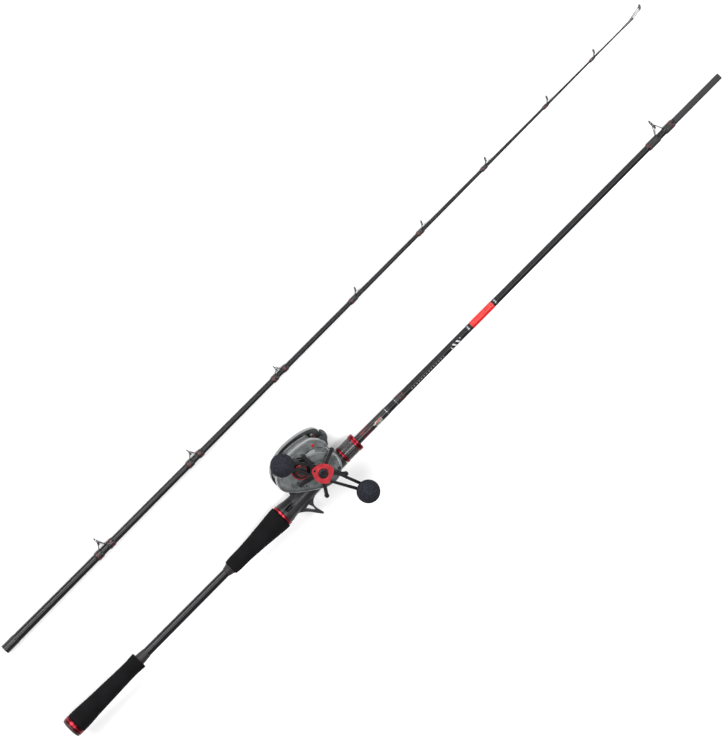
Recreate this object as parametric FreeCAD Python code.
import FreeCAD, Part
import math
import os

# Two-piece casting rod with a low-profile reel, laid down on the reel's flat palm side.
# X runs along the rod towards the tip, Y is the side of the reel and the guides,
# Z is up, towards the crank. The origin is where the spool's axis meets the floor.
# All lengths are in millimetres.

# ---- rod, butt section ----
ROD_Y = -35.0
ROD_Z = 30.0
BUTT_END_X = -450.0
CAP_FACE_X = -446.2
SPIGOT_END_X = 749.1
SPIGOT_R = 4.5
FERRULE_LENGTH = 75.0
BLANK_WALL = 1.3
BUTT_BLANK = [(-445.7, 6.4), (-309.0, 6.2), (-161.0, 5.85), (145.0, 5.5), (245.0, 5.05),
              (340.0, 4.87), (600.0, 4.55), (SPIGOT_END_X - FERRULE_LENGTH, SPIGOT_R),
              (SPIGOT_END_X, SPIGOT_R)]
RED_RING_R = 14.7
REAR_GRIP = [(-438.7, 14.6), (-431.0, 14.5), (-415.0, 13.7), (-400.0, 12.85), (-380.0, 12.25),
             (-360.0, 11.45), (-345.0, 11.05), (-335.0, 11.1), (-328.0, 11.6), (-323.0, 11.85)]
FRONT_GRIP = [(-154.6, 10.1), (-150.0, 10.7), (-140.0, 11.05), (-130.0, 11.15), (-120.0, 11.7),
              (-109.0, 12.5), (-99.0, 13.35), (-88.0, 14.3), (-78.0, 15.3), (-66.0, 16.3),
              (-61.0, 16.2)]
SEAT_X = (-56.0, 31.0)
BARREL_R = 9.5
BARREL_END_X = 77.0
SADDLE_HEIGHT = 9.6
TRIGGER_THICKNESS = 6.5
HOOD_X = (33.0, 49.3)
NUT_X = (49.6, 78.9)
NUT_R = 11.75
FIT = 0.06

# ---- rod, tip section ----
TIP_Y = 96.5
TIP_Z = 6.5
TIP_END_X = 720.2
SOCKET_X = -435.4
SOCKET_R = 4.55
TIP_BLANK = [(SOCKET_X, 6.0), (-408.0, 6.0), (-346.0, 5.52), (-211.0, 4.87), (-55.0, 4.22),
             (88.0, 3.57), (226.0, 3.1), (387.0, 2.45), (530.0, 1.8), (663.0, 1.15),
             (TIP_END_X, 1.0)]

# Guides: ring centre along the rod, its height above the rod's axis, the ring's outer
# diameter, and the two thread wraps over the feet.
STRIPPER = (641.0, 18.4, 14.2, (615.0, 637.0), (646.0, 664.0))
DOUBLE_GUIDES = [(-252.0, 15.3, 11.8, (-268.0, -256.0), (-247.0, -235.0)),
                 (-86.0, 12.1, 9.9, (-101.0, -90.0), (-82.0, -72.0)),
                 (70.0, 9.3, 8.9, (55.0, 66.0), (74.0, 84.0))]
SINGLE_GUIDES = [(216.0, 8.4, 7.2, (198.0, 212.0)), (338.0, 7.8, 7.0, (322.0, 334.5)),
                 (455.0, 7.4, 7.0, (440.0, 451.5)), (568.0, 6.7, 6.9, (553.5, 564.5)),
                 (654.0, 6.2, 6.8, (640.0, 650.5))]
GUIDE_LEAN = 24.0
TIP_RING_X = 737.1

# ---- reel ----
# The reel is set out from the spool's axis, which is the vertical line through the origin.
WALL = 1.8
PALM_PLATE_Z = (13.0, 15.5)
GEAR_PLATE_Z = (44.0, 46.5)
COVER_FACE_Z = 59.0
COVER_STEP_Z = 53.5
COVER_ROUND = 5.0
FACET_Z = 57.0
RECESS_Z = 56.6
RECESS_R = 13.2
SPOOL_R = 19.5
SPOOL_Z = (17.0, 43.0)
SHAFT_R = 1.5
RUNNING = 0.06
PALM_OUTLINE = [(48.4, 15.4), (41.0, 19.2), (29.5, 22.6), (16.0, 24.7), (1.0, 25.0),
                (-12.5, 22.8), (-20.5, 19.8), (-28.0, 15.0), (-34.0, 7.5), (-36.6, -2.0),
                (-34.0, -12.0), (-27.0, -19.0), (-17.0, -23.0), (-5.0, -24.5), (8.0, -24.5),
                (20.0, -22.5), (31.0, -18.0), (39.5, -11.5), (46.5, -4.0), (50.6, 3.0),
                (51.9, 9.8)]
GEAR_OUTLINE = [(35.5, 18.8), (29.5, 20.7), (19.0, 22.8), (8.0, 24.0), (-3.0, 24.0),
                (-14.0, 22.4), (-23.0, 18.9), (-30.3, 13.2), (-35.0, 6.0), (-36.0, -3.5),
                (-31.2, -12.5), (-23.6, -20.5), (-15.8, -26.5), (-8.5, -32.0), (-1.5, -37.0),
                (6.5, -42.0), (17.0, -45.2), (26.0, -45.6), (34.2, -42.8), (41.0, -37.8),
                (45.2, -31.5), (47.6, -23.5), (47.8, -14.5), (46.6, -7.5), (46.6, -3.0),
                (48.0, 2.0), (46.6, 7.0), (43.4, 11.4), (40.0, 15.4)]
DIAL_X = -20.5
DIAL_Y = 2.0

# Main gears: the drive gear turns the pinion, which turns the spool.
PRESSURE_ANGLE = 25.0
BACKLASH = 0.14
MAIN_MODULE = 0.63
DRIVE_TEETH = 71
PINION_TEETH = 12
DRIVE_ANGLE = -48.4
MAIN_DISTANCE = MAIN_MODULE * (DRIVE_TEETH + PINION_TEETH) / 2
DRIVE_X = MAIN_DISTANCE * math.cos(math.radians(DRIVE_ANGLE))
DRIVE_Y = MAIN_DISTANCE * math.sin(math.radians(DRIVE_ANGLE))
PINION_Z = (47.2, 51.8)

# Level wind train: a small gear on the drive shaft, an idler and the worm's gear.
TRAIN_MODULE = 0.7
TRAIN_TEETH = (26, 22, 16)
TRAIN_Z = (46.9, 48.3)
WORM_X = 36.5
WORM_Y = 2.5
WORM_R = 3.0
BAR_X = 31.0
BAR_Y = -3.0
BAR_R = 1.0
EYE_Y = 11.0

# Yoke posts lie square to the line between the two main axes, clear of the drive gear.
YOKE_ANGLE = DRIVE_ANGLE + 90.0
YOKE_REACH = 9.0
YOKE_Z = (52.0, 53.0)
YOKE_ROOF_Z = 55.4

# Cover screws: place, and the height of the face under the head.
COVER_SCREWS = [(-22.0, 11.5, COVER_FACE_Z), (33.2, 11.2, FACET_Z), (37.5, -35.3, COVER_FACE_Z)]

# Crank, star wheel and knobs. The knobs trail the crank's own centre line a little.
STAR_Z = (66.4, 69.6)
STAR_R = 35.0
STAR_ARMS = 5
STAR_ANGLE = -122.0
ARM_Z = (72.0, 75.0)
ARM_ANGLE = -62.9
ARM_REACH = 60.0
ARM_SWEEP = -3.0
PLATE_ANGLE = 29.0
KNOB_R = 15.5
KNOB_Z = 95.0
KNOB_BASE_Z = 80.0


# ---- helpers ----
def vec(x, y, z):
    return FreeCAD.Vector(x, y, z)


def box(x0, x1, y0, y1, z0, z1):
    return Part.makeBox(x1 - x0, y1 - y0, z1 - z0, vec(x0, y0, z0))


def cyl_x(radius, x0, x1, y, z):
    return Part.makeCylinder(radius, x1 - x0, vec(x0, y, z), vec(1, 0, 0))


def cyl_z(radius, z0, z1, x=0.0, y=0.0):
    return Part.makeCylinder(radius, z1 - z0, vec(x, y, z0), vec(0, 0, 1))


def rod_between(start, end, radius):
    return Part.makeCylinder(radius, (end - start).Length, start, end - start)


def turned_x(profile, y, z):
    """A solid turned about a line along X, from a closed outline of (x, radius)."""
    corners = [vec(x, y + r, z) for x, r in profile]
    face = Part.Face(Part.makePolygon(corners + corners[:1]))
    return face.revolve(vec(0, y, z), vec(1, 0, 0), 360)


def turned_z(profile, x=0.0, y=0.0):
    """A solid turned about a vertical line, from a closed outline of (radius, z)."""
    corners = [vec(x + r, y, z) for r, z in profile]
    face = Part.Face(Part.makePolygon(corners + corners[:1]))
    return face.revolve(vec(x, y, 0), vec(0, 0, 1), 360)


def ring_z(r_out, r_in, z0, z1, x=0.0, y=0.0):
    return turned_z([(r_in, z0), (r_out, z0), (r_out, z1), (r_in, z1)], x, y)


def smooth_turned_x(outer, bore, y, z):
    """A turned solid whose outside is one smooth curve through the outer points."""
    curve = Part.BSplineCurve()
    curve.interpolate([vec(x, y + r, z) for x, r in outer])
    inside = [vec(x, y + r, z) for x, r in bore]
    ends = [curve.EndPoint] + inside[::-1] + [curve.StartPoint]
    face = Part.Face(Part.Wire([curve.toShape()] + Part.makePolygon(ends).Edges))
    return face.revolve(vec(0, y, z), vec(1, 0, 0), 360)


def radius_at(stations, x):
    """The blank's radius at x, in a straight taper between its stations."""
    for (x0, r0), (x1, r1) in zip(stations, stations[1:]):
        if x <= x1:
            return r0 + (r1 - r0) * (x - x0) / (x1 - x0)
    return stations[-1][1]


def blank_line(stations, x0, x1):
    """The blank's outline between two places, with every change of taper."""
    inner = [point for point in stations if x0 < point[0] < x1]
    return [(x0, radius_at(stations, x0))] + inner + [(x1, radius_at(stations, x1))]


def sleeve(stations, y, z, x0, x1, outer):
    """A sleeve on a blank: the outer outline is a list of (x, radius) from x0 to x1."""
    return turned_x(outer + blank_line(stations, x0, x1)[::-1], y, z)


def smooth_outline(points, z):
    """One smooth closed curve through points in a level plane."""
    curve = Part.BSplineCurve()
    curve.interpolate([vec(x, y, z) for x, y in points], PeriodicFlag=True)
    return Part.Wire(curve.toShape())


def inset(points, distance):
    """The same outline, moved inwards; the points run anticlockwise."""
    moved = []
    for i, (x, y) in enumerate(points):
        before = points[i - 1]
        after = points[(i + 1) % len(points)]
        dx = after[0] - before[0]
        dy = after[1] - before[1]
        length = math.hypot(dx, dy)
        moved.append((x - dy / length * distance, y + dx / length * distance))
    return moved


def slab(points, z0, z1, distance=0.0):
    """A plate with a smooth outline, set in by a distance."""
    outline = smooth_outline(inset(points, distance) if distance else points, z0)
    return Part.Face(outline).extrude(vec(0, 0, z1 - z0))


def polygon_plate(points, z0, z1):
    corners = [vec(x, y, z0) for x, y in points]
    return Part.Face(Part.makePolygon(corners + corners[:1])).extrude(vec(0, 0, z1 - z0))


def joined(shapes):
    whole = shapes[0].fuse(shapes[1:])
    return whole.removeSplitter()


def polar(radius, degrees, x=0.0, y=0.0):
    angle = math.radians(degrees)
    return (x + radius * math.cos(angle), y + radius * math.sin(angle))


nodes = {}


# ---- rod, butt section ----
def make_butt_blank():
    bore = [(x, r - BLANK_WALL) for x, r in BUTT_BLANK]
    nodes["butt_blank"] = turned_x(BUTT_BLANK + bore[::-1], ROD_Y, ROD_Z)
    plug_r = BUTT_BLANK[0][1] - BLANK_WALL - 0.1
    dome = [(BUTT_END_X, 0.0), (BUTT_END_X, 9.5), (BUTT_END_X + 0.5, 12.0),
            (BUTT_END_X + 1.4, 13.6), (BUTT_END_X + 2.8, 14.2), (CAP_FACE_X, 14.2),
            (CAP_FACE_X, plug_r), (-430.0, plug_r), (-430.0, 0.0)]
    nodes["butt_cap"] = turned_x(dome, ROD_Y, ROD_Z)
    nodes["butt_cap_ring"] = red_ring(CAP_FACE_X, REAR_GRIP[0][0], RED_RING_R)


def red_ring(x0, x1, radius):
    """A polished ring with rounded shoulders, fitted over the blank."""
    outer = [(x0, radius - 0.8), (x0 + 0.8, radius), (x1 - 0.8, radius), (x1, radius - 0.8)]
    bore_r = radius_at(BUTT_BLANK, max(x0, BUTT_BLANK[0][0]))
    inner = [(x1, bore_r), (x0, bore_r)]
    return turned_x(outer + inner, ROD_Y, ROD_Z)


def make_grips():
    bore = blank_line(BUTT_BLANK, REAR_GRIP[0][0], REAR_GRIP[-1][0])
    nodes["rear_grip"] = smooth_turned_x(REAR_GRIP, bore, ROD_Y, ROD_Z)
    bore = blank_line(BUTT_BLANK, FRONT_GRIP[0][0], FRONT_GRIP[-1][0])
    nodes["front_grip"] = smooth_turned_x(FRONT_GRIP, bore, ROD_Y, ROD_Z)
    nodes["front_grip_ring"] = red_ring(-61.0, -56.0, 15.2)
    rear = sleeve(BUTT_BLANK, ROD_Y, ROD_Z, -323.0, -309.0,
                  [(-323.0, 7.6), (-320.0, 7.5), (-310.0, 6.6), (-309.0, 6.35)])
    front = sleeve(BUTT_BLANK, ROD_Y, ROD_Z, -163.0, -154.6,
                   [(-163.0, 6.1), (-161.5, 6.6), (-157.0, 7.6), (-155.5, 8.4), (-154.6, 8.4)])
    nodes["winding_checks"] = Part.makeCompound([rear, front])


def make_decorations():
    """The wrap in front of the seat, and the red sleeve between two silver bands."""
    nodes["seat_wrap"] = sleeve(BUTT_BLANK, ROD_Y, ROD_Z, 77.0, 137.0,
                                [(77.0, 6.1), (79.5, 6.2), (132.0, 6.0), (137.0, 5.6)])
    bands = []
    for x0, x1, radius in ((282.8, 285.4, 5.4), (332.2, 334.8, 5.3)):
        bands.append(sleeve(BUTT_BLANK, ROD_Y, ROD_Z, x0, x1, [(x0, radius), (x1, radius)]))
    nodes["trim_bands"] = Part.makeCompound(bands)
    nodes["accent_sleeve"] = sleeve(BUTT_BLANK, ROD_Y, ROD_Z, 289.5, 329.0,
                                    [(289.5, 5.3), (329.0, 5.2)])


def trigger_blade():
    """The finger hook under the seat, with its open window."""
    top = ROD_Y - 8.0
    rear = Part.BSplineCurve()
    rear.interpolate([vec(-52.0, top - 6.0, 0), vec(-43.0, ROD_Y - 12.0, 0),
                      vec(-36.0, ROD_Y - 16.0, 0), vec(-28.0, ROD_Y - 25.0, 0),
                      vec(-20.3, ROD_Y - 36.0, 0)])
    tip = Part.Arc(vec(-20.3, ROD_Y - 36.0, 0), vec(-18.9, ROD_Y - 36.6, 0),
                   vec(-17.8, ROD_Y - 35.5, 0))
    front = Part.BSplineCurve()
    front.interpolate([vec(-17.8, ROD_Y - 35.5, 0), vec(-20.0, ROD_Y - 26.0, 0),
                       vec(-19.8, ROD_Y - 18.5, 0), vec(-15.5, ROD_Y - 13.5, 0),
                       vec(-6.0, ROD_Y - 11.0, 0)])
    closing = Part.makePolygon([vec(-6.0, ROD_Y - 11.0, 0), vec(-6.0, top, 0), vec(-52.0, top, 0),
                                vec(-52.0, top - 6.0, 0)])
    edges = [rear.toShape(), tip.toShape(), front.toShape()] + closing.Edges
    blade = Part.Face(Part.Wire(edges)).extrude(vec(0, 0, TRIGGER_THICKNESS))
    window = polygon_plate([(-31.0, ROD_Y - 14.8), (-24.8, ROD_Y - 13.6), (-22.6, ROD_Y - 19.5),
                            (-23.0, ROD_Y - 26.5)], -1.0, TRIGGER_THICKNESS + 1.0)
    blade = blade.cut(window)
    blade.translate(vec(0, 0, ROD_Z - TRIGGER_THICKNESS / 2))
    return blade


def make_reel_seat():
    outline = [(-56.0, 14.4), (-51.0, 13.9), (-45.0, 12.8), (-38.0, 12.1), (-18.0, 11.6),
               (28.0, 11.2), (31.0, 10.6), (31.0, BARREL_R), (44.0, BARREL_R)]
    thread_x = 44.0
    while thread_x < 74.0:
        outline += [(thread_x + 0.6, BARREL_R - 0.45), (thread_x + 1.4, BARREL_R - 0.45),
                    (thread_x + 2.0, BARREL_R)]
        thread_x += 2.0
    outline += [(BARREL_END_X - 0.8, BARREL_R), (BARREL_END_X, BARREL_R - 0.8)]
    seat = sleeve(BUTT_BLANK, ROD_Y, ROD_Z, SEAT_X[0], BARREL_END_X, outline)
    saddle = box(-18.0, 31.0, ROD_Y + SADDLE_HEIGHT, ROD_Y + 20.0, ROD_Z - 20.0, ROD_Z + 20.0)
    pocket_roof = cyl_x(14.4, -33.0, -17.0, ROD_Y, ROD_Z).common(
        box(-33.0, -17.0, ROD_Y + 6.0, ROD_Y + 20.0, ROD_Z - 9.5, ROD_Z + 9.5))
    pocket_roof = pocket_roof.cut(cyl_x(8.0, -34.0, -16.0, ROD_Y, ROD_Z))
    blade = trigger_blade().cut(cyl_x(9.0, -60.0, 0.0, ROD_Y, ROD_Z))
    seat = joined([seat.cut(saddle), pocket_roof, blade])
    pocket = box(-24.0, -16.0, ROD_Y + SADDLE_HEIGHT, ROD_Y + 12.4, ROD_Z - 7.4, ROD_Z + 7.4)
    window = cyl_x(2.6, -51.0, -41.0, ROD_Y + 4.4, ROD_Z + 12.0)
    window = window.fuse(cyl_x(2.6, -51.0, -41.0, ROD_Y + 4.4, ROD_Z - 12.0))
    window = window.fuse(box(-51.0, -41.0, ROD_Y + 1.8, ROD_Y + 7.0, ROD_Z - 12.0, ROD_Z + 12.0))
    core = cyl_x(7.4, -52.0, -40.0, ROD_Y, ROD_Z)
    nodes["reel_seat"] = seat.cut(pocket).cut(window.cut(core))


def make_hood_and_nut():
    x0, x1 = HOOD_X
    bore_r = BARREL_R + FIT
    body = turned_x([(x0, bore_r), (x0, 12.2), (x1 - 0.6, 12.2), (x1, 11.6), (x1, bore_r)],
                    ROD_Y, ROD_Z)
    roof_outline = [(x0, ROD_Y + 5.0), (x0, ROD_Y + 14.5), (x0 + 9.0, ROD_Y + 14.5),
                    (x1 - 1.0, ROD_Y + 12.0), (x1 - 1.0, ROD_Y + 5.0)]
    roof = polygon_plate(roof_outline, ROD_Z - 9.5, ROD_Z + 9.5)
    roof = roof.common(cyl_x(15.6, x0, x1, ROD_Y, ROD_Z)).cut(cyl_x(10.5, x0, x1, ROD_Y, ROD_Z))
    pocket = box(x0 - 1.0, 39.5, ROD_Y + 4.0, ROD_Y + 12.5, ROD_Z - 7.4, ROD_Z + 7.4)
    nodes["seat_hood"] = joined([body, roof]).cut(pocket)

    x0, x1 = NUT_X
    outline = [(x0, bore_r), (x0, 11.2), (x0 + 4.6, 11.2), (x0 + 4.6, NUT_R), (72.0, NUT_R),
               (72.0, 11.2), (x1, 11.2), (x1, bore_r)]
    nut = turned_x(outline, ROD_Y, ROD_Z)
    flutes = []
    for i in range(20):
        y, z = polar(NUT_R + 0.9, 18.0 * i, ROD_Y, ROD_Z)
        flutes.append(cyl_x(1.3, x0 + 6.5, 70.0, y, z))
    nodes["lock_nut"] = nut.cut(Part.makeCompound(flutes))
    rings = [turned_x([(50.2, 11.2), (50.2, 12.0), (51.0, 12.3), (53.4, 12.3), (54.2, 12.0),
                       (54.2, 11.2)], ROD_Y, ROD_Z),
             turned_x([(72.0, 11.2), (72.0, 12.0), (72.8, 12.5), (78.1, 12.5), (x1, 11.8),
                       (x1, 11.2)], ROD_Y, ROD_Z)]
    nodes["lock_nut_rings"] = Part.makeCompound(rings)


# ---- guides ----
def foot_plate(stations, y, z, x0, x1, thickness, half_angle, thin_end):
    """A curved foot that lies on the blank under the guide; it thins out at x0 or at x1."""
    under = max(radius_at(stations, x0), radius_at(stations, x1)) + 0.02
    if thin_end == x0:
        outer = [(x0, under + 0.15), (x0 + 2.5, under + thickness), (x1, under + thickness)]
    else:
        outer = [(x0, under + thickness), (x1 - 2.5, under + thickness), (x1, under + 0.15)]
    strap = turned_x(outer + [(x1, under), (x0, under)], y, z)
    reach = under + thickness + 2.0
    spread = reach * math.tan(math.radians(half_angle))
    corners = [vec(x0 - 1.0, y, z), vec(x0 - 1.0, y + reach, z - spread),
               vec(x0 - 1.0, y + reach, z + spread)]
    wedge = Part.Face(Part.makePolygon(corners + corners[:1]))
    return strap.common(wedge.extrude(vec(x1 - x0 + 2.0, 0, 0)))


def eyelet(x, y, z, r_out, r_in, width, lean):
    """A ring across the rod, leaned towards the tip about its own centre."""
    half = width / 2
    chamfer = min(0.25, (r_out - r_in) / 4)
    profile = [(x - half, r_in + chamfer), (x - half, r_out - chamfer), (x - half + chamfer, r_out),
               (x + half - chamfer, r_out), (x + half, r_out - chamfer), (x + half, r_in + chamfer),
               (x + half - chamfer, r_in), (x - half + chamfer, r_in)]
    ring = turned_x(profile, y, z)
    ring.rotate(vec(x, y, z), vec(0, 0, 1), -lean)
    return ring


def leaned(x, y, along, across, lean):
    """A place in the leaned ring's plane: along the rod and away from it."""
    a = math.radians(lean)
    return (x + along * math.cos(a) + across * math.sin(a),
            y - along * math.sin(a) + across * math.cos(a))


def double_foot_guide(stations, y, z, guide, wire, foot_gap):
    """Frame, hard ring and thread wraps of an upright guide with two feet."""
    x, height, diameter, rear, front = guide
    r_out = diameter / 2
    r_mid = r_out - wire * 0.9
    holder = eyelet(x, y + height, z, r_out, r_mid, 2.0 * wire, 0.0)
    hard_ring = eyelet(x, y + height, z, r_mid, r_mid - 1.1 * wire, 2.4 * wire, 0.0)
    thickness = 0.8
    rear_x = rear[0] + 2.0
    front_x = front[1] - 2.0
    feet = [foot_plate(stations, y, z, rear_x, x - foot_gap, thickness, 24.0, rear_x),
            foot_plate(stations, y, z, x + foot_gap, front_x, thickness, 24.0, front_x)]
    pieces = [holder] + feet
    hip = y + radius_at(stations, x) + 0.02 + thickness - 0.1
    for side in (-1.0, 1.0):
        ankle = vec(x - foot_gap - 1.2, hip - wire * 0.2, z + side * wire * 0.8)
        shoulder = vec(x - wire * 0.5, y + height - r_out * 0.45, z + side * (r_out * 0.86 - 0.1))
        pieces.append(rod_between(ankle, shoulder, wire * 0.62))
        ankle = vec(x + foot_gap + 1.2, hip - wire * 0.2, z + side * wire * 0.9)
        shoulder = vec(x + wire * 0.4, y + height + r_out * 0.1, z + side * (r_out - wire * 0.35))
        pieces.append(rod_between(ankle, shoulder, wire * 0.62))
    frame = joined(pieces).cut(hard_ring)
    wraps = []
    for x0, x1 in (rear, front):
        wraps.append(thread_wrap(stations, y, z, x0, x1, thickness, frame))
    return frame, hard_ring, wraps


def thread_wrap(stations, y, z, x0, x1, thickness, frame):
    """The thread that binds a foot, with tapered ends, cut around the foot."""
    lift = thickness + 0.3
    outer = [(x0, radius_at(stations, x0) + 0.15), (x0 + 2.5, radius_at(stations, x0) + lift),
             (x1 - 2.5, radius_at(stations, x1) + lift), (x1, radius_at(stations, x1) + 0.15)]
    return sleeve(stations, y, z, x0, x1, outer).cut(frame)


def single_foot_guide(stations, y, z, guide):
    """Frame, hard ring and thread wrap of a light guide with one foot behind it."""
    x, height, diameter, wrap = guide
    r_out = diameter / 2
    r_mid = r_out - 0.55
    holder = eyelet(x, y + height, z, r_out, r_mid, 1.4, GUIDE_LEAN)
    hard_ring = eyelet(x, y + height, z, r_mid, r_mid - 0.8, 1.8, GUIDE_LEAN)
    thickness = 0.6
    rear_x = wrap[0] + 1.5
    foot = foot_plate(stations, y, z, rear_x, wrap[1] + 1.0, thickness, 30.0, rear_x)
    hip = y + radius_at(stations, x) + thickness * 0.6
    pieces = [holder, foot]
    for side in (-1.0, 1.0):
        sx, sy = leaned(x, y + height, 0.0, -r_out * 0.35, GUIDE_LEAN)
        shoulder = vec(sx, sy, z + side * (r_out * 0.93 - 0.3))
        ankle = vec(wrap[1] - 0.6, hip, z + side * 0.45)
        pieces.append(rod_between(ankle, shoulder, 0.42))
    frame = joined(pieces).cut(hard_ring)
    return frame, hard_ring, thread_wrap(stations, y, z, wrap[0], wrap[1], thickness, frame)


def make_stripper_guide():
    frame, ring, wraps = double_foot_guide(BUTT_BLANK, ROD_Y, ROD_Z, STRIPPER, 1.0, 5.5)
    nodes["stripper_guide_frame"] = frame
    nodes["stripper_guide_ring"] = ring
    nodes["stripper_guide_wraps"] = Part.makeCompound(wraps)


# ---- rod, tip section ----
def make_tip_blank():
    step_x = SOCKET_X + FERRULE_LENGTH
    bore = [(SOCKET_X, SOCKET_R), (step_x, SOCKET_R), (step_x, 3.9), (0.0, 2.4), (520.0, 0.6)]
    outline = TIP_BLANK + [(TIP_END_X, 0.0), (520.0, 0.0)] + bore[::-1]
    nodes["tip_blank"] = turned_x(outline, TIP_Y, TIP_Z)
    nodes["ferrule_wrap"] = sleeve(TIP_BLANK, TIP_Y, TIP_Z, SOCKET_X + 0.3, -413.4,
                                   [(SOCKET_X + 0.3, 6.3), (SOCKET_X + 0.8, 6.5), (-415.0, 6.5),
                                    (-413.4, 6.1)])


def make_tip_top():
    """The guide at the very end: a tube on the blank, two stays and a hard ring."""
    tube_r = 1.55
    tube_x = TIP_END_X - 17.6
    tube = turned_x([(tube_x, radius_at(TIP_BLANK, tube_x)), (tube_x, tube_r),
                     (TIP_END_X + 0.8, tube_r), (TIP_END_X + 0.8, 0.0), (TIP_END_X, 0.0),
                     (TIP_END_X, 1.0)], TIP_Y, TIP_Z)
    tube = tube.cut(nodes["tip_blank"])
    ring_y = TIP_Y + 4.4
    lean = 38.0
    r_out = 4.0
    r_mid = r_out - 0.6
    holder = eyelet(TIP_RING_X, ring_y, TIP_Z, r_out, r_mid, 1.5, lean)
    hard_ring = eyelet(TIP_RING_X, ring_y, TIP_Z, r_mid, r_mid - 0.9, 1.9, lean)
    pieces = [tube, holder]
    for side in (-1.0, 1.0):
        start = vec(TIP_END_X - 7.6, TIP_Y + 0.5, TIP_Z + side * 1.3)
        sx, sy = leaned(TIP_RING_X, ring_y, 0.0, 0.5, lean)
        pieces.append(rod_between(start, vec(sx, sy, TIP_Z + side * (r_out - 0.3)), 0.45))
    start = vec(TIP_END_X - 5.6, TIP_Y - 1.2, TIP_Z)
    sx, sy = leaned(TIP_RING_X, ring_y, 0.0, -(r_out - 0.25), lean)
    pieces.append(rod_between(start, vec(sx, sy, TIP_Z), 0.45))
    frame = joined(pieces).cut(hard_ring).cut(nodes["tip_blank"])
    nodes["tip_top_frame"] = frame
    return hard_ring


def make_tip_guides():
    rings = [make_tip_top()]
    wraps = []
    for number, guide in enumerate(DOUBLE_GUIDES, 2):
        wire = 0.85 - 0.1 * (number - 2)
        frame, ring, pair = double_foot_guide(TIP_BLANK, TIP_Y, TIP_Z, guide, wire, 4.0)
        nodes["guide_%d_frame" % number] = frame
        rings.append(ring)
        wraps += pair
    frames = []
    for guide in SINGLE_GUIDES:
        frame, ring, wrap = single_foot_guide(TIP_BLANK, TIP_Y, TIP_Z, guide)
        frames.append(frame)
        rings.append(ring)
        wraps.append(wrap)
    nodes["single_foot_guides"] = Part.makeCompound(frames)
    nodes["guide_rings"] = Part.makeCompound(rings)
    nodes["guide_wraps"] = Part.makeCompound(wraps)


# ---- reel ----
def involute_point(base_r, roll):
    """A point of an involute of the base circle, and its polar angle, at a roll angle."""
    radius = base_r * math.sqrt(1.0 + roll * roll)
    return radius, roll - math.atan(roll)


def gear_solid(module, teeth, phase, x, y, z0, z1):
    """A spur gear with involute flanks; one tooth is centred at the phase, in degrees."""
    pitch_r = module * teeth / 2
    base_r = pitch_r * math.cos(math.radians(PRESSURE_ANGLE))
    root_r = pitch_r - 1.25 * module
    tip_r = pitch_r + 0.95 * module
    pitch_roll = math.tan(math.radians(PRESSURE_ANGLE))
    pitch_turn = pitch_roll - math.atan(pitch_roll)
    half = math.pi / (2 * teeth) - BACKLASH / (4 * pitch_r)
    first_roll = math.sqrt(max((root_r / base_r) ** 2 - 1.0, 0.0))
    last_roll = math.sqrt((tip_r / base_r) ** 2 - 1.0)
    flank = []
    for step in range(4):
        roll = first_roll + (last_roll - first_roll) * step / 3
        radius, turn = involute_point(base_r, roll)
        flank.append((radius, half + pitch_turn - turn))
    if root_r < base_r:
        flank.insert(0, (root_r, flank[0][1]))
    corners = []
    for tooth in range(teeth):
        centre = math.radians(phase) + 2 * math.pi * tooth / teeth
        for radius, turn in flank:
            corners.append((x + radius * math.cos(centre - turn),
                            y + radius * math.sin(centre - turn)))
        for radius, turn in reversed(flank):
            corners.append((x + radius * math.cos(centre + turn),
                            y + radius * math.sin(centre + turn)))
    return polygon_plate(corners, z0, z1)


def meshed_phase(phase, teeth, direction, other_teeth):
    """The phase of a gear that meshes with another one in a direction, in degrees."""
    fraction = ((direction - phase) / (360.0 / teeth)) % 1.0
    return direction + 180.0 + (fraction + 0.5) * 360.0 / other_teeth


def domed_cover(points, z_base, z_face):
    """A solid cover whose outer edge is rounded where it meets its flat face."""
    low = min(z_base, z_face)
    high = max(z_base, z_face)
    body = slab(points, low, high)
    rim = [edge for edge in body.Edges
           if abs(edge.BoundBox.ZMin - z_face) < 1e-3 and abs(edge.BoundBox.ZMax - z_face) < 1e-3]
    return body.makeFillet(COVER_ROUND, rim)


def make_palm_cover():
    base = PALM_PLATE_Z[0]
    cover = domed_cover(PALM_OUTLINE, base, 0.0)
    cover = cover.cut(slab(PALM_OUTLINE, 6.5, base, WALL))
    cover = cover.cut(cyl_z(17.5, WALL, 6.5, 4.0, 0.0))
    cover = joined([cover, ring_z(7.0, 5.0, WALL - 0.1, 9.2), ring_z(12.4, 10.0, WALL - 0.1, 10.0),
                    cyl_z(9.5, 0.0, 6.5, DIAL_X, DIAL_Y).cut(cyl_z(13.0, 0.0, 6.5))])
    cover = cover.cut(cyl_z(7.8, -1.0, 4.6, DIAL_X, DIAL_Y))
    cover = cover.cut(cyl_z(2.5, 4.0, 7.0, DIAL_X, DIAL_Y))
    nodes["palm_side_cover"] = cover
    dial = turned_z([(0.0, 0.4), (6.9, 0.4), (7.5, 1.0), (7.5, 4.2), (2.44, 4.2), (2.44, 6.8),
                     (3.3, 6.8), (3.3, 7.6), (0.0, 7.6)], DIAL_X, DIAL_Y)
    grip = box(DIAL_X - 5.6, DIAL_X + 5.6, DIAL_Y - 1.0, DIAL_Y + 1.0, 0.0, 6.0)
    scoops = cyl_z(4.6, 0.0, 1.9, DIAL_X, DIAL_Y + 5.6).fuse(
        cyl_z(4.6, 0.0, 1.9, DIAL_X, DIAL_Y - 5.6))
    nodes["brake_dial"] = dial.cut(scoops.common(cyl_z(6.0, 0.0, 1.9, DIAL_X, DIAL_Y)).cut(grip))
    nodes["brake_ring"] = ring_z(12.4, 10.0, 10.0, 15.5)


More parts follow.
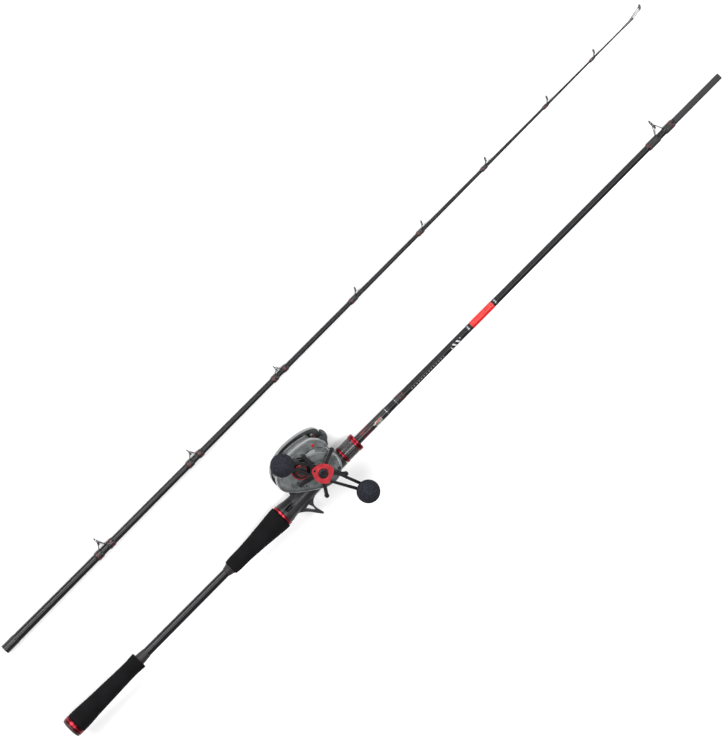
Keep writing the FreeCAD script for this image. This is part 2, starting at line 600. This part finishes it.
def make_frame():
    low, high = PALM_PLATE_Z[1], GEAR_PLATE_Z[0]
    palm_plate = slab(PALM_OUTLINE, *PALM_PLATE_Z).cut(cyl_z(SPOOL_R + 1.1, 12.0, 16.0))
    gear_plate = slab(GEAR_OUTLINE, *GEAR_PLATE_Z)
    bars = [box(-14.0, 24.0, -22.6, -20.4, low, high),
            box(27.0, 31.0, -14.0, -9.5, low, high),
            box(-31.0, -27.5, -9.5, -5.0, low, high)]
    post_top = YOKE_ROOF_Z - 0.2
    posts = [cyl_z(1.05, GEAR_PLATE_Z[1], post_top, *polar(YOKE_REACH, YOKE_ANGLE)),
             cyl_z(1.05, GEAR_PLATE_Z[1], post_top, *polar(YOKE_REACH, YOKE_ANGLE + 180.0)),
             cyl_z(1.6, GEAR_PLATE_Z[1], TRAIN_Z[1] + 0.1, *idler_centre())]
    frame = joined([palm_plate, gear_plate] + bars + posts)
    holes = [cyl_z(5.2, 43.0, 47.0), cyl_z(3.0, 43.0, 47.0, DRIVE_X, DRIVE_Y),
             cyl_z(2.0 + RUNNING, 43.0, 47.0, WORM_X, WORM_Y),
             cyl_z(1.2 + RUNNING, 12.0, 15.6, WORM_X, WORM_Y),
             box(-29.0, -25.5, 1.0, 10.2, 43.0, 47.0)]
    holes += [cyl_z(1.2, 44.6, 47.0, x, y) for x, y, face_z in COVER_SCREWS]
    nodes["reel_frame"] = frame.cut(Part.makeCompound(holes))


def make_foot():
    """The foot that the rod's seat holds, thinner towards its two ends."""
    base = ROD_Y + SADDLE_HEIGHT
    side = [(-23.5, base), (38.5, base), (38.5, base + 1.6), (30.0, base + 2.5), (24.0, -22.6),
            (-14.0, -22.6), (-15.0, base + 2.5), (-23.5, base + 1.6)]
    foot = polygon_plate(side, ROD_Z - 7.0, ROD_Z + 7.0)
    ends = []
    for x in (-17.0, 32.0):
        ends.append(Part.makeCylinder(7.0, 12.0, vec(x, base - 2.0, ROD_Z), vec(0, 1, 0)))
    middle = box(-17.0, 32.0, base - 2.0, base + 10.0, ROD_Z - 7.0, ROD_Z + 7.0)
    nodes["reel_foot"] = foot.common(joined([middle] + ends))


def cover_cuts():
    """What is cut into the gear side cover's face: a lower facet, a recess, slots and a groove."""
    facet = polygon_plate([(-14.0, 30.0), (-9.0, 21.5), (4.0, 19.8), (12.5, 17.4), (20.0, 11.2),
                           (30.0, 7.4), (40.0, 1.2), (44.0, -3.0), (60.0, -3.0), (60.0, 30.0)],
                          FACET_Z, 60.0)
    recess = cyl_z(RECESS_R, RECESS_Z, 60.0)
    slot = ring_z(16.9, 14.2, FACET_Z, 60.0)
    sector = polygon_plate([(0.0, 0.0), polar(30.0, 22.0), polar(30.0, 66.0)], 50.0, 62.0)
    groove = ring_z(23.8, 22.9, COVER_FACE_Z - 0.9, 60.0, DRIVE_X, DRIVE_Y)
    vents = []
    for turn in (228.0, 237.0, 246.0):
        tip_x, tip_y = polar(25.6, turn)
        left_x, left_y = polar(21.8, turn - 3.2)
        right_x, right_y = polar(21.8, turn + 3.2)
        vents.append(polygon_plate([(tip_x, tip_y), (left_x, left_y), (right_x, right_y)],
                                   COVER_FACE_Z - 1.2, 60.0))
    return [facet, recess, slot.common(sector), groove] + vents


def make_gear_cover():
    base = GEAR_PLATE_Z[1]
    drive_roof = COVER_FACE_Z - 1.6
    cover = domed_cover(GEAR_OUTLINE, base, COVER_FACE_Z)
    cover = cover.cut(slab(GEAR_OUTLINE, base, COVER_STEP_Z, WALL))
    cover = cover.cut(cyl_z(12.0, COVER_STEP_Z, drive_roof, DRIVE_X, DRIVE_Y))
    cover = cover.cut(cyl_z(15.0, COVER_STEP_Z, YOKE_ROOF_Z))
    for tool in cover_cuts():
        cover = cover.cut(tool)
    boss = turned_z([(0.0, 58.0), (13.0, 58.0), (12.0, 61.0), (11.0, 62.5), (0.0, 62.5)],
                    DRIVE_X, DRIVE_Y)
    columns = [cyl_z(2.0, base, 56.0, x, y) for x, y, face_z in COVER_SCREWS]
    cover = joined([cover, boss, cyl_z(6.5, YOKE_ROOF_Z, 62.5)] + columns)
    holes = [cyl_z(8.5, 57.0, 61.5, DRIVE_X, DRIVE_Y), cyl_z(6.2, 61.0, 63.0, DRIVE_X, DRIVE_Y),
             cyl_z(5.0, 55.0, 60.6), cyl_z(4.2, 60.0, 63.0)]
    holes += [cyl_z(1.2, base - 1.0, 60.0, x, y) for x, y, face_z in COVER_SCREWS]
    nodes["gear_side_cover"] = cover.cut(Part.makeCompound(holes))
    screws = []
    for x, y, face_z in COVER_SCREWS:
        screws.append(turned_z([(0.0, 44.7), (1.2, 44.7), (1.2, face_z), (2.2, face_z),
                                (2.2, face_z + 0.9), (1.7, face_z + 1.4), (1.0, face_z + 1.4),
                                (1.0, face_z + 0.5), (0.0, face_z + 0.5)], x, y))
    nodes["cover_screws"] = Part.makeCompound(screws)
    trim = ring_z(RECESS_R - 0.1, RECESS_R - 1.3, RECESS_Z, 59.6)
    gap = polygon_plate([(0.0, 0.0), polar(40.0, -78.0), polar(40.0, -30.0), polar(40.0, 25.0),
                         polar(40.0, 70.0)], 55.0, 61.0)
    nodes["cover_trim"] = trim.cut(gap)


def make_front_hood():
    """The hood over the level wind: a roof with a long gap beside the palm side, a lip in
    front of the line guide, and a cheek at each side."""
    low, high = PALM_PLATE_Z[1], GEAR_PLATE_Z[0]
    depth = vec(0, 0, high - low)
    top = Part.BSplineCurve()
    top.interpolate([vec(x, y, low) for x, y in ((-2.0, 24.0), (8.0, 24.0), (19.0, 22.8),
                                                 (29.5, 20.6), (37.0, 18.1))])
    under = Part.BSplineCurve()
    under.interpolate([vec(x, y, low) for x, y in ((36.4, 16.2), (29.0, 18.7), (18.6, 20.9),
                                                   (8.0, 22.0), (-2.0, 22.2))])
    ends = [Part.makeLine(top.EndPoint, under.StartPoint),
            Part.makeLine(under.EndPoint, top.StartPoint)]
    roof = Part.Face(Part.Wire([top.toShape(), ends[0], under.toShape(), ends[1]])).extrude(depth)
    roof = roof.cut(box(-3.0, 32.5, 15.0, 30.0, low - 1.0, 25.0))
    lip_outline = [(44.6, -6.6), (46.6, -7.0), (51.8, -1.2), (56.8, 3.8), (57.2, 5.4),
                   (54.4, 8.0), (52.8, 7.2), (50.0, 3.2), (46.4, 0.0), (44.5, -2.4)]
    lip = Part.Face(smooth_outline(lip_outline, low)).extrude(depth)
    lip = lip.common(Part.makeCylinder(40.0, 20.0, vec(17.4, -10.0, ROD_Z), vec(0, 1, 0)))
    palm_cheek = [(44.6, -4.0), (48.8, -2.0), (52.0, 4.0), (50.4, 12.0), (46.5, 15.0),
                  (44.6, 15.6)]
    gear_cheek = [(44.6, -4.0), (48.8, -2.0), (52.0, 3.0), (50.6, 7.6), (46.8, 8.6),
                  (44.6, 8.8)]
    cheeks = [polygon_plate(palm_cheek, low, low + 1.8), polygon_plate(gear_cheek, high - 1.8, high)]
    front = joined([lip] + cheeks)
    nodes["front_hood"] = Part.makeCompound([roof, front])


def make_thumb_bar():
    bar = polygon_plate([(-31.0, 5.4), (-24.6, 5.4), (-22.8, 8.2), (-24.4, 11.0), (-27.0, 12.0),
                         (-30.2, 11.4), (-31.6, 8.5)], 16.0, 43.5)
    arm = box(-28.5, -26.0, 6.4, 9.4, 43.0, 51.5)
    nodes["thumb_bar"] = joined([bar, arm])


def make_spool():
    z0, z1 = SPOOL_Z
    arbor = 10.5
    outline = [(SHAFT_R, z0 + 2.0), (5.5, z0 + 2.0), (5.5, z0), (SPOOL_R - 0.8, z0),
               (SPOOL_R, z0 + 0.5), (SPOOL_R, z0 + 1.5), (SPOOL_R - 1.0, z0 + 1.7),
               (arbor, z0 + 4.6), (arbor, z1 - 4.6), (SPOOL_R - 1.0, z1 - 1.7),
               (SPOOL_R, z1 - 1.5), (SPOOL_R, z1 - 0.5), (SPOOL_R - 0.8, z1), (5.5, z1),
               (5.5, z1 - 2.0), (SHAFT_R, z1 - 2.0)]
    nodes["spool"] = turned_z(outline)
    nodes["spool_shaft"] = turned_z([(0.0, 6.3), (SHAFT_R, 6.3), (SHAFT_R, 62.2), (0.8, 62.8),
                                     (0.0, 62.8)])
    hub = ring_z(5.4, SHAFT_R, 11.0, z0 + 2.0)
    shoes = [hub]
    for i in range(6):
        shoe = box(5.0, 9.2, -1.3, 1.3, 11.5, 15.0)
        shoe.rotate(vec(0, 0, 0), vec(0, 0, 1), 60.0 * i)
        shoes.append(shoe)
    nodes["brake_hub"] = joined(shoes)
    rings = []
    for base in (6.2, 57.5):
        rings.append(ring_z(5.0, SHAFT_R + RUNNING, base, base + 3.0))
    nodes["spool_bearings"] = Part.makeCompound(rings)


def idler_centre():
    """The idler sits in front of the line between the drive shaft and the worm."""
    to_drive = TRAIN_MODULE * (TRAIN_TEETH[0] + TRAIN_TEETH[1]) / 2
    to_worm = TRAIN_MODULE * (TRAIN_TEETH[1] + TRAIN_TEETH[2]) / 2
    dx = WORM_X - DRIVE_X
    dy = WORM_Y - DRIVE_Y
    span = math.hypot(dx, dy)
    along = (to_drive ** 2 + span ** 2 - to_worm ** 2) / (2 * span)
    aside = math.sqrt(to_drive ** 2 - along ** 2)
    return (DRIVE_X + (dx * along + dy * aside) / span, DRIVE_Y + (dy * along - dx * aside) / span)


def direction_to(x0, y0, x1, y1):
    return math.degrees(math.atan2(y1 - y0, x1 - x0))


def make_main_gears():
    pinion_phase = meshed_phase(0.0, DRIVE_TEETH, DRIVE_ANGLE + 180.0, PINION_TEETH)
    teeth = gear_solid(MAIN_MODULE, PINION_TEETH, pinion_phase, 0.0, 0.0, *PINION_Z)
    z = PINION_Z[1]
    neck = turned_z([(0.0, z), (2.6, z), (2.6, z + 1.4), (4.2, z + 1.4), (4.2, z + 2.4),
                     (0.0, z + 2.4)])
    pinion = joined([teeth, neck]).cut(cyl_z(SHAFT_R + RUNNING, 40.0, 60.0))
    nodes["pinion_gear"] = pinion
    wheel = gear_solid(MAIN_MODULE, DRIVE_TEETH, 0.0, DRIVE_X, DRIVE_Y, 48.6, 51.5)
    nodes["drive_gear"] = wheel.cut(cyl_z(4.0, 45.0, 55.0, DRIVE_X, DRIVE_Y))
    shaft = turned_z([(0.0, 44.1), (2.94, 44.1), (2.94, 46.9), (5.0, 46.9), (5.0, 48.4),
                      (4.0, 48.4), (4.0, 54.0), (4.94, 54.0), (4.94, 66.0), (3.5, 66.0),
                      (3.5, 76.9), (0.0, 76.9)], DRIVE_X, DRIVE_Y)
    small = gear_solid(TRAIN_MODULE, TRAIN_TEETH[0], 0.0, DRIVE_X, DRIVE_Y, *TRAIN_Z)
    nodes["drive_shaft"] = joined([shaft, small])
    washers = []
    for base, radius in ((51.5, 11.0), (52.3, 10.4), (53.1, 11.0)):
        washers.append(ring_z(radius, 4.0, base, base + 0.8, DRIVE_X, DRIVE_Y))
    nodes["drag_washers"] = Part.makeCompound(washers)
    nodes["one_way_bearing"] = ring_z(8.5, 5.0, 57.5, 61.4, DRIVE_X, DRIVE_Y)


def make_level_wind():
    idler_x, idler_y = idler_centre()
    first = direction_to(DRIVE_X, DRIVE_Y, idler_x, idler_y)
    phase = meshed_phase(0.0, TRAIN_TEETH[0], first, TRAIN_TEETH[1])
    idler = gear_solid(TRAIN_MODULE, TRAIN_TEETH[1], phase, idler_x, idler_y, *TRAIN_Z)
    nodes["idler_gear"] = idler.cut(cyl_z(1.6 + RUNNING, 45.0, 50.0, idler_x, idler_y))
    second = direction_to(idler_x, idler_y, WORM_X, WORM_Y)
    phase = meshed_phase(phase, TRAIN_TEETH[1], second, TRAIN_TEETH[2])
    wheel = gear_solid(TRAIN_MODULE, TRAIN_TEETH[2], phase, WORM_X, WORM_Y, *TRAIN_Z)
    nodes["worm_gear"] = wheel.cut(cyl_z(2.0, 45.0, 50.0, WORM_X, WORM_Y))
    outline = [(0.0, 13.2), (1.2, 13.2), (1.2, 15.8), (WORM_R, 15.8)]
    z = 17.0
    while z < 41.0:
        outline += [(WORM_R, z), (WORM_R - 0.5, z + 0.4), (WORM_R - 0.5, z + 1.0),
                    (WORM_R, z + 1.4)]
        z += 2.6
    outline += [(WORM_R, 43.7), (2.0, 43.7), (2.0, TRAIN_Z[1]), (0.0, TRAIN_Z[1])]
    nodes["worm_shaft"] = turned_z(outline, WORM_X, WORM_Y)
    nodes["guide_bar"] = cyl_z(BAR_R, PALM_PLATE_Z[1], GEAR_PLATE_Z[0], BAR_X, BAR_Y)
    block = polygon_plate([(28.6, -4.4), (31.0, -5.4), (37.0, -2.2), (41.2, -1.0), (41.2, 4.4),
                           (43.6, 5.0), (43.6, 15.2), (40.2, 15.2), (40.2, 6.5), (33.5, 6.5),
                           (31.5, 3.0), (28.6, -1.0)], 26.0, 34.0)
    block = block.cut(cyl_z(WORM_R + RUNNING, 20.0, 40.0, WORM_X, WORM_Y))
    block = block.cut(cyl_z(BAR_R + RUNNING, 20.0, 40.0, BAR_X, BAR_Y))
    nodes["line_guide"] = block.cut(cyl_x(3.3, 39.0, 45.0, EYE_Y, ROD_Z))
    nodes["line_guide_insert"] = turned_x([(39.9, 2.7), (40.2, 2.3), (43.6, 2.3), (43.9, 2.7),
                                           (43.9, 3.0), (43.6, 3.3), (40.2, 3.3), (39.9, 3.0)],
                                          EYE_Y, ROD_Z)


def make_yoke():
    plate = box(-11.5, 11.5, -3.2, 3.2, *YOKE_Z)
    plate = plate.cut(box(-2.66, 2.66, -4.0, 0.0, 50.0, 55.0)).cut(cyl_z(2.66, 50.0, 55.0))
    for x in (-YOKE_REACH, YOKE_REACH):
        plate = plate.cut(cyl_z(1.05 + RUNNING, 50.0, 55.0, x, 0.0))
    plate.rotate(vec(0, 0, 0), vec(0, 0, 1), YOKE_ANGLE)
    nodes["clutch_yoke"] = plate


def make_tension_cap():
    outline = [(6.56, 60.2), (7.4, 60.2), (8.0, 60.8), (8.0, 64.6), (7.0, 65.5), (0.0, 65.5),
               (0.0, 63.8), (6.56, 63.8)]
    cap = turned_z(outline)
    grooves = []
    for i in range(18):
        grooves.append(cyl_z(0.7, 61.2, 66.0, *polar(8.2, 20.0 * i)))
    nodes["tension_cap"] = cap.cut(Part.makeCompound(grooves))


def make_star_drag():
    hub = cyl_z(8.5, 62.9, STAR_Z[1] + 0.4, DRIVE_X, DRIVE_Y)
    arms = [hub]
    for i in range(STAR_ARMS):
        arm = box(0.0, STAR_R - 3.0, -2.2, 2.2, *STAR_Z).fuse(
            cyl_z(3.0, STAR_Z[0], STAR_Z[1], STAR_R - 3.0, 0.0))
        root = polygon_plate([(0.0, -7.0), (14.0, -2.2), (14.0, 2.2), (0.0, 7.0)], *STAR_Z)
        arm = arm.fuse(root)
        arm.rotate(vec(0, 0, 0), vec(0, 0, 1), STAR_ANGLE + 360.0 / STAR_ARMS * i)
        arm.translate(vec(DRIVE_X, DRIVE_Y, 0))
        arms.append(arm)
    star = joined(arms)
    star = star.cut(cyl_z(4.94 + RUNNING, 60.0, 66.2, DRIVE_X, DRIVE_Y))
    nodes["star_drag"] = star.cut(cyl_z(3.5 + RUNNING, 66.0, 75.0, DRIVE_X, DRIVE_Y))


def arm_place(reach, aside):
    """A place on the crank arm: along it from the drive shaft, and to its left."""
    a = math.radians(ARM_ANGLE)
    return (DRIVE_X + reach * math.cos(a) - aside * math.sin(a),
            DRIVE_Y + reach * math.sin(a) + aside * math.cos(a))


def make_handle():
    """The crank: a plate of two rails on each side of its hub, narrower at the knobs."""
    z0, z1 = ARM_Z
    pieces = [cyl_z(10.0, z0, z1, DRIVE_X, DRIVE_Y), cyl_z(6.0, 70.5, z0, DRIVE_X, DRIVE_Y)]
    for sign in (1.0, -1.0):
        end = sign * ARM_REACH
        pieces.append(cyl_z(5.6, z0, z1, *arm_place(end, ARM_SWEEP)))
        for side in (1.0, -1.0):
            near = sign * (ARM_REACH - 6.0)
            rail = [arm_place(sign * 3.0, side * 9.6), arm_place(sign * 3.0, side * 5.0),
                    arm_place(sign * 12.0, side * 4.9 + ARM_SWEEP * 0.2),
                    arm_place(near, side * 1.7 + ARM_SWEEP * 0.9),
                    arm_place(end, side * 1.7 + ARM_SWEEP), arm_place(end, side * 5.4 + ARM_SWEEP),
                    arm_place(sign * 13.0, side * 8.3 + ARM_SWEEP * 0.2)]
            pieces.append(polygon_plate(rail, z0, z1))
    holes = [cyl_z(3.5, 70.0, 76.0, DRIVE_X, DRIVE_Y),
             cyl_z(1.5, 70.0, 76.0, *arm_place(ARM_REACH, ARM_SWEEP)),
             cyl_z(1.5, 70.0, 76.0, *arm_place(-ARM_REACH, ARM_SWEEP))]
    nodes["handle_arm"] = joined(pieces).cut(Part.makeCompound(holes))

    outline = [(-8.6, -11.6), (0.0, -12.6), (8.6, -11.6), (12.2, -6.0), (12.8, 1.0), (10.2, 8.0),
               (5.0, 13.2), (1.5, 15.4), (-1.5, 15.4), (-5.0, 13.2), (-10.2, 8.0), (-12.8, 1.0),
               (-12.2, -6.0)]
    plate = [(DRIVE_X + x, DRIVE_Y + y) for x, y in outline]
    body = slab(plate, z1, z1 + 2.2)
    body = joined([body, cyl_z(8.8, z1, z1 + 3.0, DRIVE_X, DRIVE_Y)])
    body = body.cut(cyl_z(6.2, z1 - 1.0, z1 + 4.0, DRIVE_X, DRIVE_Y))
    screw_x, screw_y = DRIVE_X, DRIVE_Y + 11.8
    body = body.cut(cyl_z(1.6, z1 - 1.0, z1 + 4.0, screw_x, screw_y))
    nut = turned_z([(0.0, 76.9), (3.5, 76.9), (3.5, z1), (6.2, z1), (6.2, 77.6), (5.6, 78.4),
                    (4.6, 78.7), (4.6, 78.2), (0.0, 78.2)], DRIVE_X, DRIVE_Y)
    keeper = turned_z([(0.0, z1), (1.6, z1), (1.6, z1 + 1.6), (0.8, z1 + 1.9), (0.0, z1 + 1.9)],
                      screw_x, screw_y)
    for piece in (body, keeper):
        piece.rotate(vec(DRIVE_X, DRIVE_Y, 0), vec(0, 0, 1), PLATE_ANGLE)
    nodes["handle_plate"] = body
    nodes["handle_nut_and_keeper"] = Part.makeCompound([nut, keeper])


def make_knobs():
    spindles = []
    for name, sign in (("knob_front", 1.0), ("knob_rear", -1.0)):
        x, y = arm_place(sign * ARM_REACH, ARM_SWEEP)
        spindles.append(turned_z([(0.0, ARM_Z[0] - 0.8), (2.6, ARM_Z[0] - 0.8), (2.6, ARM_Z[0]),
                                  (1.5, ARM_Z[0]), (1.5, ARM_Z[1]), (4.0, ARM_Z[1]), (4.0, 79.4),
                                  (1.5, 79.4), (1.5, 104.0), (3.0, 104.0), (3.0, 105.2),
                                  (0.0, 105.2)], x, y))
        ball = Part.makeSphere(KNOB_R, vec(x, y, KNOB_Z))
        ball = ball.common(box(x - 20.0, x + 20.0, y - 20.0, y + 20.0, KNOB_BASE_Z, 120.0))
        bore = turned_z([(0.0, 78.0), (1.5 + RUNNING, 78.0), (1.5 + RUNNING, 103.6),
                         (3.4, 103.6), (3.4, 105.8), (0.0, 105.8)], x, y)
        nodes[name] = ball.cut(bore)
    nodes["knob_spindles"] = Part.makeCompound(spindles)


def make_everything():
    make_butt_blank()
    make_grips()
    make_decorations()
    make_reel_seat()
    make_hood_and_nut()
    make_stripper_guide()
    make_tip_blank()
    make_tip_guides()
    make_palm_cover()
    make_frame()
    make_foot()
    make_gear_cover()
    make_front_hood()
    make_thumb_bar()
    make_spool()
    make_main_gears()
    make_level_wind()
    make_yoke()
    make_tension_cap()
    make_star_drag()
    make_handle()
    make_knobs()


make_everything()
os.makedirs("parts", exist_ok=True)
for name, shape in nodes.items():
    shape.exportStep("parts/%s.step" % name)
